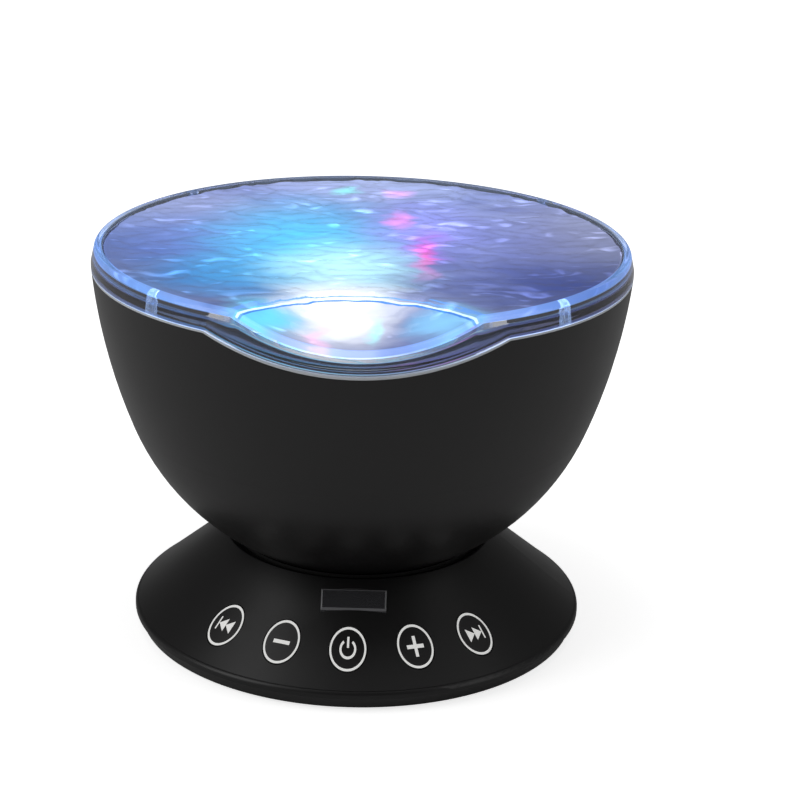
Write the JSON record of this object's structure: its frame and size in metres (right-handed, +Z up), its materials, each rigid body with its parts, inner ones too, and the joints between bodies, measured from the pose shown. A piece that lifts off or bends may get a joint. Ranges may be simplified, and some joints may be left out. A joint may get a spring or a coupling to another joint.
{
  "type": "star night light projector",
  "caption": "Tabletop night light projector: a tilting bowl-shaped lamp head with a clear rippled cover, on a round base with front keys.",
  "frame": {"origin": "on the table under the middle of the base, at the undersides of the feet", "axes": "+Z up through the base and the upright head; the keys face -Y and the sockets +Y"},
  "size_m": [0.147, 0.1468, 0.1105],
  "materials": {
    "black_shell_abs": "satin moulded",
    "black_bowl_abs": "satin gloss moulded",
    "key_abs": "satin moulded",
    "foot_rubber": "matte",
    "zinc_steel": "zinc plated",
    "turned_steel": "turned",
    "board_fr4": "solder mask",
    "lamp_board_white": "white solder mask",
    "switch_black": "moulded",
    "smoky_window": "clear smoke",
    "speaker_steel": "painted",
    "speaker_paper": "pressed paper",
    "white_acetal": "moulded",
    "inner_abs": "moulded",
    "spreader_aluminium": "milled",
    "reflector_white": "gloss white",
    "lamp_lens": "clear domes",
    "clear_acrylic": "rippled clear",
    "gasket_silicone": "matte pale",
    "motor_can": "drawn can"
  },
  "bodies": {
    "base": {"base_top": "black_shell_abs", "base_bottom": "black_shell_abs", "rubber_feet": "foot_rubber", "friction_ring": "foot_rubber", "base_screws": "zinc_steel", "board_screws": "zinc_steel", "plate_screws": "zinc_steel", "disc_spring": "zinc_steel", "clamp_nut": "zinc_steel", "pivot_stud": "turned_steel", "key_board": "board_fr4", "main_board": "board_fr4", "key_switches": "switch_black", "main_chip": "switch_black", "infrared_receiver": "switch_black", "audio_socket": "switch_black", "power_socket": "switch_black", "receiver_window": "smoky_window", "speaker_frame": "speaker_steel", "speaker_magnet": "speaker_steel", "speaker_cone": "speaker_paper", "voice_coil": "speaker_paper", "pivot_plate": "white_acetal", "clamp_shoe": "white_acetal"},
    "lamp_head": {"bowl": "black_bowl_abs", "rim_gasket": "gasket_silicone", "cover": "clear_acrylic", "head_deck": "inner_abs", "deck_screws": "zinc_steel", "heat_spreader": "spreader_aluminium", "lamp_board": "lamp_board_white", "led_lamps": "lamp_lens", "reflector": "reflector_white", "fixed_lens": "clear_acrylic", "axle_post": "white_acetal", "disc_axle": "turned_steel", "thrust_washer": "white_acetal", "axle_clip": "zinc_steel", "gear_motor": "motor_can", "motor_bracket": "zinc_steel", "motor_screws": "zinc_steel", "upper_tray": "inner_abs", "tray_screws": "zinc_steel"},
    "rotor": {"ripple_disc": "clear_acrylic", "ring_gear": "white_acetal"},
    "motor_pinion": {"motor_shaft": "turned_steel", "drive_pinion": "white_acetal"},
    "key_previous": {"key_previous": "key_abs"},
    "key_volume_down": {"key_volume_down": "key_abs"},
    "key_power": {"key_power": "key_abs"},
    "key_volume_up": {"key_volume_up": "key_abs"},
    "key_next": {"key_next": "key_abs"}
  },
  "joints": [
    {"name": "head_tilt", "type": "hinge", "parent": "base", "child": "lamp_head", "pos_m": [0, 0, 0.0856], "axis": [-1, 0, 0], "range_deg": [0, 35]},
    {"name": "disc_turn", "type": "hinge", "parent": "lamp_head", "child": "rotor", "pos_m": [0, 0, 0.088], "axis": [0, 0, 1], "continuous": true},
    {"name": "pinion_turn", "type": "hinge", "parent": "lamp_head", "child": "motor_pinion", "pos_m": [0, 0.053, 0.0874], "axis": [0, 0, 1], "continuous": true},
    {"name": "key_previous_press", "type": "slide", "parent": "base", "child": "key_previous", "axis": [0, 0, -1], "range_m": [0, 0.0005], "stiffness_N_per_m": 1500},
    {"name": "key_volume_down_press", "type": "slide", "parent": "base", "child": "key_volume_down", "axis": [0, 0, -1], "range_m": [0, 0.0005], "stiffness_N_per_m": 1500},
    {"name": "key_power_press", "type": "slide", "parent": "base", "child": "key_power", "axis": [0, 0, -1], "range_m": [0, 0.0005], "stiffness_N_per_m": 1500},
    {"name": "key_volume_up_press", "type": "slide", "parent": "base", "child": "key_volume_up", "axis": [0, 0, -1], "range_m": [0, 0.0005], "stiffness_N_per_m": 1500},
    {"name": "key_next_press", "type": "slide", "parent": "base", "child": "key_next", "axis": [0, 0, -1], "range_m": [0, 0.0005], "stiffness_N_per_m": 1500}
  ],
  "couplings": [
    {"joint": "pinion_turn", "follows": "disc_turn", "ratio": -7.8333}
  ]
}
